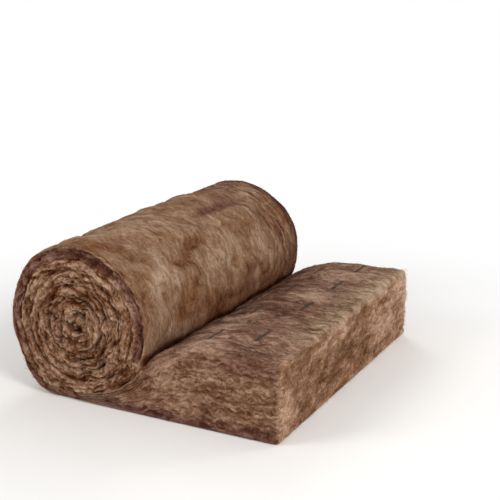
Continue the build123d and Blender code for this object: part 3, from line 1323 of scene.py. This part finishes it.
def woolMaterial(name):
    finish, shares, plain = woolFinish, woolFinish["shares"], woolFinish["plain"]
    material = bpy.data.materials.new(name)
    material.use_nodes = True
    tree = material.node_tree
    shader = tree.nodes["Principled BSDF"]
    flow = addNode(tree, "ShaderNodeAttribute", attribute_name="flow").outputs["Vector"]
    place = addNode(tree, "ShaderNodeTexCoord").outputs["Object"]
    mask = {key: addNode(tree, "ShaderNodeAttribute", attribute_name=key).outputs["Fac"] for key in masks}
    slant = addNode(tree, "ShaderNodeVectorRotate", rotation_type="Z_AXIS")
    slant.inputs["Angle"].default_value = finish["slant"]
    link(tree, flow, slant.inputs["Vector"])

    texture = {"light": mask["light"]}
    for key, (length, width, waver, crimp, seed) in finish["strands"].items():
        texture[key] = placeGroup(
            tree, strandGroup, Flow=slant.outputs[0] if key == "slanting" else flow, Place=place,
            Length=length, Width=width, Waver=waver, Crimp=crimp, Seed=seed,
        )
    for key, (scale, detail) in finish["noises"].items():
        texture[key] = noiseNode(tree, place, scale, detail).outputs["Fac"]

    def times(first, second):
        return mathNode(tree, "MULTIPLY", first, second)

    def contrast(key, source):
        return mathNode(tree, "MULTIPLY_ADD", source, *finish["contrasts"][key], clamp=True)

    def thinLine(strands, sharpness, under):
        # a line where the strands cross their middle value, in patches
        away = mathNode(tree, "ABSOLUTE", mathNode(tree, "SUBTRACT", strands, 0.5))
        line = mathNode(tree, "MULTIPLY_ADD", away, -sharpness, 1.0, clamp=True)
        return times(line, contrast("patchy", under))

    def blend(mix):
        # weighted sum of several textures
        total = None
        for key, weight in finish["mixes"][mix].items():
            share = times(texture[key], weight)
            total = share if total is None else mathNode(tree, "ADD", total, share)
        return total

    def cover(share, colour, over):
        return mixNode(tree, share, colour, over)

    def woolOf(kind, tone):
        return ramp(tree, tone, finish["tones"][kind])

    # the roll's side and the free end's top, which show the blanket's faces
    texture["wispLine"] = thinLine(texture["wisps"], finish["wispSharpness"], texture["pads"])
    tone, cutTone, topTone = blend("facing"), blend("cut"), blend("top")
    facing = woolOf("facing", tone)
    rusty = times(contrast("rusty", texture["patches"]), shares["rusty"])
    paled = times(contrast("paled", texture["patches"]), shares["paled"])
    wispShare = times(texture["wispLine"], shares["wisp"])
    for share, key in ((rusty, "rusty"), (paled, "paled"), (wispShare, "wisp")):
        facing = cover(share, facing, plain[key])
    top = cover(wispShare, woolOf("top", topTone), plain["wisp"])

    # the wool cut across its layers
    cut = cover(mask["freeSide"], woolOf("cut", cutTone), woolOf("side", blend("side")))
    cutFace = woolOf("cutFace", blend("cutFace"))
    colour = cover(mask["cutWool"], facing, cut)
    colour = cover(mask["cutFace"], colour, cutFace)
    colour = cover(mask["topFace"], colour, top)

    # mauve, pale and rust-coloured places
    blotched = times(contrast("blotched", texture["blotch"]), shares["blotchMauve"])
    mauveShare = mathNode(tree, "MAXIMUM", blotched, times(mask["mauve"], shares["mauve"]))
    colour = cover(mauveShare, colour, woolOf("mauve", cutTone))
    colour = cover(times(mask["pale"], shares["pale"]), colour, woolOf("paleTop", topTone))
    colour = cover(times(mask["rust"], shares["rust"]), colour, woolOf("rust", tone))

    # dark flecks on the faces; painted shade in the cracks and hollows on the ends, along the nip and in
    # the creases and folds
    fleckShare = mathNode(tree, "SUBTRACT", shares["fleck"], times(mask["cutWool"], shares["fleck"]))
    flecked = times(contrast("flecked", texture["flecks"]), fleckShare)
    colour = cover(flecked, colour, plain["fleck"])
    crackShade = thinLine(texture["cracks"], finish["crackSharpness"], texture["cutBroad"])
    crackPlace = times(mask["cutWool"], mathNode(tree, "SUBTRACT", 1.0, mask["cutFace"]))
    fainter = mathNode(tree, "MULTIPLY_ADD", mask["freeSide"], shares["sideCrack"], shares["crack"])
    crackShade = times(crackShade, times(crackPlace, fainter))
    # painted shade: crevices, the nip and the cracks take the dark hollow colour
    dark = mathNode(tree, "MAXIMUM", mathNode(tree, "MAXIMUM", mask["cavity"], mask["nip"]), crackShade)
    colour = cover(times(dark, shares["hollow"]), colour, plain["hollow"])

    # the cutting marks
    marked = 0.0
    for row, halfWide, middles in marks["rows"]:
        for middle in middles:
            mark = placeGroup(
                tree, cuttingMarkGroup, Place=place, Row=axisX + row, Middle=middle - halfWidth,
                Half_Length=marks["halfLength"], Half_Width=halfWide,
            )
            marked = mathNode(tree, "MAXIMUM", mark, marked)
    inked = times(times(marked, times(contrast("worn", texture["medium"]), shares["ink"])), mask["topFace"])
    colour = cover(inked, colour, plain["ink"])
    link(tree, colour, shader.inputs["Base Color"])

    smoothest = finish["roughness"] - finish["roughnessRange"] / 2
    rough = mathNode(tree, "MULTIPLY_ADD", tone, finish["roughnessRange"], smoothest)
    link(tree, rough, shader.inputs["Roughness"])
    shader.inputs["Specular IOR Level"].default_value = finish["specular"]

    raised = mixNode(tree, mask["cutWool"], blend("facingHeight"), blend("cutHeight"), "FLOAT")
    raised = mixNode(tree, mask["cutFace"], raised, blend("faceHeight"), "FLOAT")
    bump = addNode(tree, "ShaderNodeBump")
    for key, value in finish["bump"].items():
        bump.inputs[key].default_value = value
    link(tree, raised, bump.inputs["Height"])
    link(tree, bump.outputs["Normal"], shader.inputs["Normal"])
    return material


brownWool = woolMaterial("brown wool")
woolBlanket.data.materials.append(brownWool)
print("wool finished")


# Loose fibres that stand up from the wool, as Geometry Nodes

strandShape = {"sides": 3, "rings": 4, "thickness": 0.034, "bend": 0.07, "sway": 0.07}


def strandMesh():
    # one bent, tapered strand, 1 long, along X
    sides, rings = strandShape["sides"], strandShape["rings"]
    places, polygons = [], []
    for ring in range(rings):
        share = (ring + 0.4) / (rings - 0.2)
        thick = 0.5 * math.sin(math.pi * min(max(share, 0.08), 0.94)) ** 0.6 * strandShape["thickness"]
        bend = strandShape["bend"] * math.sin(math.pi * share)
        sway = strandShape["sway"] * math.sin(2 * math.pi * share)
        for side in range(sides):
            angle = 2 * math.pi * side / sides
            places.append((share, sway + thick * math.cos(angle), bend + thick * math.sin(angle)))
    root, tip = len(places), len(places) + 1
    places += [(0, 0, -0.02), (1, 0, 0.03)]
    last = (rings - 1) * sides
    for ring in range(rings - 1):
        for side in range(sides):
            a, b = ring * sides + side, ring * sides + (side + 1) % sides
            polygons.append((a, a + sides, b + sides, b))
    for side in range(sides):
        after = (side + 1) % sides
        polygons += [(root, side, after), (tip, last + after, last + side)]
    mesh = bpy.data.meshes.new("strand")
    mesh.from_pydata(places, [], polygons)
    return bpy.data.objects.new("strand", mesh)


strand = strandMesh()
fibreInputs = (
    ("Geometry", "Geometry"),
    ("Density", "Float", 2000.0),
    ("Shortest", "Float", 0.012),
    ("Longest", "Float", 0.03),
    ("Stray", "Float", 0.6),
    ("Lift", "Float", 0.3),
    ("Seed", "Int", 1),
)


def fibreTree(material):
    tree, inside, outside = newGroup(
        "GeometryNodeTree", "looseFibres", fibreInputs, ("Geometry", "Geometry")
    )

    def place(kind, sockets, **settings):
        # a node with some of its inputs linked or set
        node = addNode(tree, kind, **settings)
        for name, value in sockets.items():
            if isinstance(value, bpy.types.NodeSocket):
                link(tree, value, node.inputs[name])
            else:
                node.inputs[name].default_value = value
        return node

    def named(attribute, kind):
        node = place("GeometryNodeInputNamedAttribute", {"Name": attribute}, data_type=kind)
        return node.outputs["Attribute"]

    def randomValue(low, high, seedStep):
        node = addNode(tree, "FunctionNodeRandomValue", data_type="FLOAT")
        sockets = [s for s in node.inputs if s.enabled and s.name in ("Min", "Max")]
        for socket, value in zip(sockets, (low, high)):
            setOrLink(tree, socket, value)
        link(tree, mathNode(tree, "ADD", inside["Seed"], seedStep), node.inputs["Seed"])
        return next(s for s in node.outputs if s.enabled)

    density = mathNode(tree, "MULTIPLY", inside["Density"], named("fibreShare", "FLOAT"))
    scatter = place(
        "GeometryNodeDistributePointsOnFaces",
        {"Mesh": inside["Geometry"], "Density": density, "Seed": inside["Seed"]},
        distribute_method="RANDOM",
    )
    upright = place("FunctionNodeAlignRotationToVector", {"Vector": scatter.outputs["Normal"]}, axis="Z")
    along = place(
        "FunctionNodeAlignRotationToVector",
        {"Rotation": upright.outputs[0], "Vector": named("flowWay", "FLOAT_VECTOR")},
        axis="X", pivot_axis="Z",
    )
    yaw = randomValue(mathNode(tree, "MULTIPLY", inside["Stray"], -1), inside["Stray"], 11)
    pitch = randomValue(mathNode(tree, "MULTIPLY", inside["Lift"], -1), 0.08, 23)
    roll = randomValue(-1.2, 1.2, 31)
    turn = place("ShaderNodeCombineXYZ", {0: roll, 1: pitch, 2: yaw})
    turned = place("FunctionNodeEulerToRotation", {0: turn.outputs[0]})
    rotate = place(
        "FunctionNodeRotateRotation", {0: along.outputs[0], 1: turned.outputs[0]}, rotation_space="LOCAL"
    )
    length = randomValue(inside["Shortest"], inside["Longest"], 47)
    fibre = place("GeometryNodeObjectInfo", {"Object": strand})
    instance = place(
        "GeometryNodeInstanceOnPoints",
        {
            "Points": scatter.outputs["Points"],
            "Instance": fibre.outputs["Geometry"],
            "Rotation": rotate.outputs[0],
            "Scale": length,
        },
    )
    realize = place("GeometryNodeRealizeInstances", {"Geometry": instance.outputs["Instances"]})
    finish = place("GeometryNodeSetMaterial", {"Geometry": realize.outputs[0], "Material": material})
    link(tree, finish.outputs[0], outside["Geometry"])
    return tree


looseFibres = fibreTree(brownWool)

fibreLayers = {  # where each layer grows, about how many fibres it has, and the tree's inputs
    "roll_fibres": (
        "roll", 3600,
        {"Shortest": 0.012, "Longest": 0.030, "Stray": 0.6, "Lift": 0.04, "Seed": 3},
    ),
    "top_fibres": (
        "top", 3000,
        {"Shortest": 0.014, "Longest": 0.034, "Stray": 0.5, "Lift": 0.04, "Seed": 5},
    ),
    "end_fibres": (
        "ends", 7708,
        {"Shortest": 0.010, "Longest": 0.028, "Stray": 1.0, "Lift": 0.3, "Seed": 7},
    ),
    "cut_fibres": (
        "cut", 7600,
        {"Shortest": 0.008, "Longest": 0.020, "Stray": 1.5, "Lift": 0.4, "Seed": 9},
    ),
}
aboveFloor = smoothStep(0.01, 0.03, height)
fibreShares = {
    "roll": onRoll * aboveFloor,
    "top": onTop * (1 - markCalm),
    "ends": isEnd * endShare * (1 - np.clip(groove, 0, 1)) * aboveFloor * (heartDepthOf < 0.02),
    "cut": onCut * aboveFloor,
}


def sharedArea(share):
    # the blanket's area, each face weighted by the share at its first point
    area = np.empty(len(woolMesh.polygons))
    woolMesh.polygons.foreach_get("area", area)
    firstPoint = np.array([face[0] for face in faces])
    return float((area * share[firstPoint]).sum())


def growFibres(name, ground, count, settings):
    share = fibreShares[ground]
    carrier = showPiece("carrier", woolMesh.copy())
    layer = carrier.data.attributes.new("fibreShare", "FLOAT", "POINT")
    layer.data.foreach_set("value", share.astype(np.float32))
    modifier = carrier.modifiers.new("looseFibres", "NODES")
    modifier.node_group = looseFibres
    sockets = {s.name: s.identifier for s in looseFibres.interface.items_tree if s.in_out == "INPUT"}
    for key, value in {"Density": count / sharedArea(share), **settings}.items():
        modifier[sockets[key]] = value
    evaluated = carrier.evaluated_get(bpy.context.evaluated_depsgraph_get())
    mesh = bpy.data.meshes.new_from_object(evaluated)
    mesh.name = name
    bpy.data.objects.remove(carrier)
    places = np.empty(3 * len(mesh.vertices), np.float32)
    mesh.vertices.foreach_get("co", places)
    places[2::3] = np.maximum(places[2::3], 0)  # none goes through the floor
    mesh.vertices.foreach_set("co", places)
    mesh.update()
    print(name, len(mesh.polygons), "faces")
    return showPiece(name, mesh)


fibrePieces = [growFibres(name, *layer) for name, layer in fibreLayers.items()]
bpy.data.objects.remove(strand)


# Floor, light and camera

stageLook = {
    "floorSize": 14.0,
    "floorDrop": 0.001,  # lies this far below the wool
    "floorColour": (0.86, 0.86, 0.86, 1),
    "floorRoughness": 0.9,
    "fadeStart": 0.75,
    "fadeEnd": 2.1,
    "skyColour": (1, 0.985, 0.97, 1),
    "skyStrength": 0.47,
    "aim": (0, 0, 0.2),
}


def seenDirectly(tree):
    rays = addNode(tree, "ShaderNodeLightPath")
    return mathNode(tree, "MAXIMUM", rays.outputs["Is Camera Ray"], rays.outputs["Is Glossy Ray"])


def mixShaders(tree, share, first, second, target):
    mixed = addNode(tree, "ShaderNodeMixShader")
    for at, source in enumerate((share, first.outputs[0], second.outputs[0])):
        link(tree, source, mixed.inputs[at])
    link(tree, mixed.outputs[0], target.inputs["Surface"])


def makeFloor():
    half = stageLook["floorSize"] / 2
    corners = [(-half, -half, 0), (half, -half, 0), (half, half, 0), (-half, half, 0)]
    mesh = bpy.data.meshes.new("floor")
    mesh.from_pydata(corners, [], [(0, 1, 2, 3)])
    floor = showPiece("floor", mesh)
    floor.location.z = -stageLook["floorDrop"]
    material = bpy.data.materials.new("pale floor")
    material.use_nodes = True
    tree = material.node_tree
    shader = tree.nodes["Principled BSDF"]
    shader.inputs["Base Color"].default_value = stageLook["floorColour"]
    shader.inputs["Roughness"].default_value = stageLook["floorRoughness"]
    shader.inputs["Specular IOR Level"].default_value = 0.0
    glow = addNode(tree, "ShaderNodeEmission")
    place = addNode(tree, "ShaderNodeTexCoord").outputs["Object"]
    away = addNode(tree, "ShaderNodeVectorMath", operation="LENGTH")
    link(tree, place, away.inputs[0])
    fade = addNode(tree, "ShaderNodeMapRange", interpolation_type="SMOOTHSTEP")
    fade.inputs["From Min"].default_value = stageLook["fadeStart"]
    fade.inputs["From Max"].default_value = stageLook["fadeEnd"]
    link(tree, away.outputs["Value"], fade.inputs["Value"])
    share = mathNode(tree, "MULTIPLY", fade.outputs["Result"], seenDirectly(tree))
    mixShaders(tree, share, shader, glow, tree.nodes["Material Output"])
    mesh.materials.append(material)
    return floor


floor = makeFloor()


def makeWorld():
    world = bpy.data.worlds.new("white room")
    bpy.context.scene.world = world
    world.use_nodes = True
    tree = world.node_tree
    sky = tree.nodes["Background"]
    sky.inputs["Color"].default_value = stageLook["skyColour"]
    sky.inputs["Strength"].default_value = stageLook["skyStrength"]
    white = addNode(tree, "ShaderNodeBackground")
    white.inputs["Color"].default_value = (1, 1, 1, 1)
    mixShaders(tree, seenDirectly(tree), sky, white, tree.nodes["World Output"])


makeWorld()

lamps = {
    "key lamp": {"from": (3.1, -2.2, 2.8), "size": 1.5, "power": 100, "colour": (1.0, 0.97, 0.93)},
    "fill lamp": {"from": (-2.6, -3.4, 2.6), "size": 2.2, "power": 86, "colour": (1.0, 0.97, 0.94)},
    "side lamp": {"from": (2.3, 1.4, 1.5), "size": 0.9, "power": 15, "colour": (1.0, 0.96, 0.9)},
    "back lamp": {"from": (-1.6, 3.0, 2.8), "size": 2.0, "power": 45, "colour": (0.98, 0.98, 1.0)},
}


def turnTowards(holder, way):
    holder.rotation_euler = way.to_track_quat("-Z", "Y").to_euler()


for name, lamp in lamps.items():
    light = bpy.data.lights.new(name, "AREA")
    light.shape = "DISK"
    light.size = lamp["size"]
    light.energy = lamp["power"]
    light.color = lamp["colour"]
    holder = showPiece(name, light)
    holder.location = lamp["from"]
    turnTowards(holder, Vector(stageLook["aim"]) - Vector(lamp["from"]))

view = {
    "place": (2.13072 + axisX, -2.79636 - halfWidth, 1.50576),
    "azimuth": 27.454,
    "elevation": 15.368,
    "lens": 76.42,
    "filmWidth": 36,
}


def makeCamera():
    azimuth, elevation = math.radians(view["azimuth"]), math.radians(view["elevation"])
    camera = bpy.data.cameras.new("camera")
    camera.lens = view["lens"]
    camera.sensor_width = view["filmWidth"]
    holder = showPiece("camera", camera)
    holder.location = view["place"]
    level = math.cos(elevation)
    way = Vector((-math.sin(azimuth) * level, math.cos(azimuth) * level, -math.sin(elevation)))
    turnTowards(holder, way)
    bpy.context.scene.camera = holder


makeCamera()
bpy.context.scene.view_settings.view_transform = "Standard"
print("stage set")


# What stands for the CAD blanket

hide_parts("wool_blanket")
for piece in [woolBlanket, *fibrePieces]:
    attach(piece, "root")
